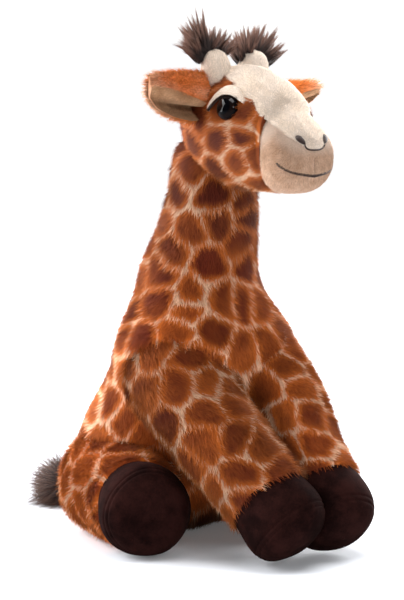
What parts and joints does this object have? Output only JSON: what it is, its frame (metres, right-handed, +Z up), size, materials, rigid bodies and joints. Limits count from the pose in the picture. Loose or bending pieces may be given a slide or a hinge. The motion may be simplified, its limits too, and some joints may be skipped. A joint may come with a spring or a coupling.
{
  "type": "plush giraffe",
  "caption": "Sitting stuffed giraffe with a long neck, soft hinged limbs, head, ears and tail, and weighted hooves.",
  "frame": {"origin": "middle of the flat under the seat, on the surface it sits on", "axes": "+Z up through the neck, -Y ahead of the face, +X to the giraffe's own left"},
  "size_m": [0.197, 0.284, 0.3285],
  "materials": {
    "rust_plush": "short plush pile in rust patches on a pale ground",
    "cream_velour": "short velour",
    "beige_velour": "short velour",
    "brown_suede": "napped suede cloth",
    "long_pile": "long spiky pile",
    "fibre_filling": "matte fibre",
    "pellet_cloth": "plain woven cloth",
    "brown_thread": "satin thread",
    "black_gloss": "glossy",
    "clear_plastic": "matte"
  },
  "bodies": {
    "body": {"body_cover": "rust_plush", "body_filling": "fibre_filling", "seat_pellet_bag": "pellet_cloth"},
    "head": {"head_cover": "rust_plush", "face_panel": "cream_velour", "head_filling": "fibre_filling", "muzzle_cover": "beige_velour", "muzzle_filling": "fibre_filling", "mouth_thread": "brown_thread", "left_nostril": "brown_thread", "left_eye": "black_gloss", "left_eye_washer": "clear_plastic", "left_eyelid": "cream_velour", "left_eyelash": "brown_thread", "left_horn": "cream_velour", "left_horn_tuft": "long_pile", "right_nostril": "brown_thread", "right_eye": "black_gloss", "right_eye_washer": "clear_plastic", "right_eyelid": "cream_velour", "right_eyelash": "brown_thread", "right_horn": "cream_velour", "right_horn_tuft": "long_pile"},
    "left_front_leg": {"left_front_leg_cover": "rust_plush", "left_front_leg_filling": "fibre_filling", "left_front_leg_hoof": "brown_suede", "left_front_leg_pellet_bag": "pellet_cloth", "left_front_leg_sole": "brown_suede"},
    "left_hind_leg": {"left_hind_leg_cover": "rust_plush", "left_hind_leg_filling": "fibre_filling", "left_hind_leg_hoof": "brown_suede", "left_hind_leg_pellet_bag": "pellet_cloth", "left_hind_leg_sole": "brown_suede"},
    "left_ear": {"left_ear": "rust_plush", "left_ear_lining": "beige_velour"},
    "right_front_leg": {"right_front_leg_cover": "rust_plush", "right_front_leg_filling": "fibre_filling", "right_front_leg_hoof": "brown_suede", "right_front_leg_pellet_bag": "pellet_cloth", "right_front_leg_sole": "brown_suede"},
    "right_hind_leg": {"right_hind_leg_cover": "rust_plush", "right_hind_leg_filling": "fibre_filling", "right_hind_leg_hoof": "brown_suede", "right_hind_leg_pellet_bag": "pellet_cloth", "right_hind_leg_sole": "brown_suede"},
    "right_ear": {"right_ear": "rust_plush", "right_ear_lining": "beige_velour"},
    "tail": {"tail_stub": "rust_plush", "tail_tuft": "long_pile"}
  },
  "joints": [
    {"name": "neck_turn", "type": "hinge", "parent": "body", "child": "head", "pos_m": [0, -0.048, 0.264], "axis": [0, 0, 1], "range_deg": [-25, 25], "stiffness_Nm_per_rad": 0.15},
    {"name": "left_shoulder", "type": "hinge", "parent": "body", "child": "left_front_leg", "pos_m": [0.036, -0.052, 0.106], "axis": [-1, 0, 0], "range_deg": [-4, 35], "stiffness_Nm_per_rad": 0.25},
    {"name": "left_hip", "type": "hinge", "parent": "body", "child": "left_hind_leg", "pos_m": [0.037, 0.008, 0.034], "axis": [0, 0, 1], "range_deg": [-3, 25], "stiffness_Nm_per_rad": 0.25},
    {"name": "left_ear_swing", "type": "hinge", "parent": "head", "child": "left_ear", "pos_m": [0.02377, -0.068, 0.2775], "axis": [0, 0, 1], "range_deg": [-20, 20], "stiffness_Nm_per_rad": 0.01},
    {"name": "right_shoulder", "type": "hinge", "parent": "body", "child": "right_front_leg", "pos_m": [-0.036, -0.052, 0.106], "axis": [-1, 0, 0], "range_deg": [-4, 35], "stiffness_Nm_per_rad": 0.25},
    {"name": "right_hip", "type": "hinge", "parent": "body", "child": "right_hind_leg", "pos_m": [-0.037, 0.008, 0.034], "axis": [0, 0, -1], "range_deg": [-3, 25], "stiffness_Nm_per_rad": 0.25},
    {"name": "right_ear_swing", "type": "hinge", "parent": "head", "child": "right_ear", "pos_m": [-0.02377, -0.068, 0.2775], "axis": [0, 0, 1], "range_deg": [-20, 20], "stiffness_Nm_per_rad": 0.01},
    {"name": "tail_swing", "type": "hinge", "parent": "body", "child": "tail", "pos_m": [0, 0.04532, 0.012], "axis": [0, 0, 1], "range_deg": [-30, 30], "stiffness_Nm_per_rad": 0.03}
  ]
}
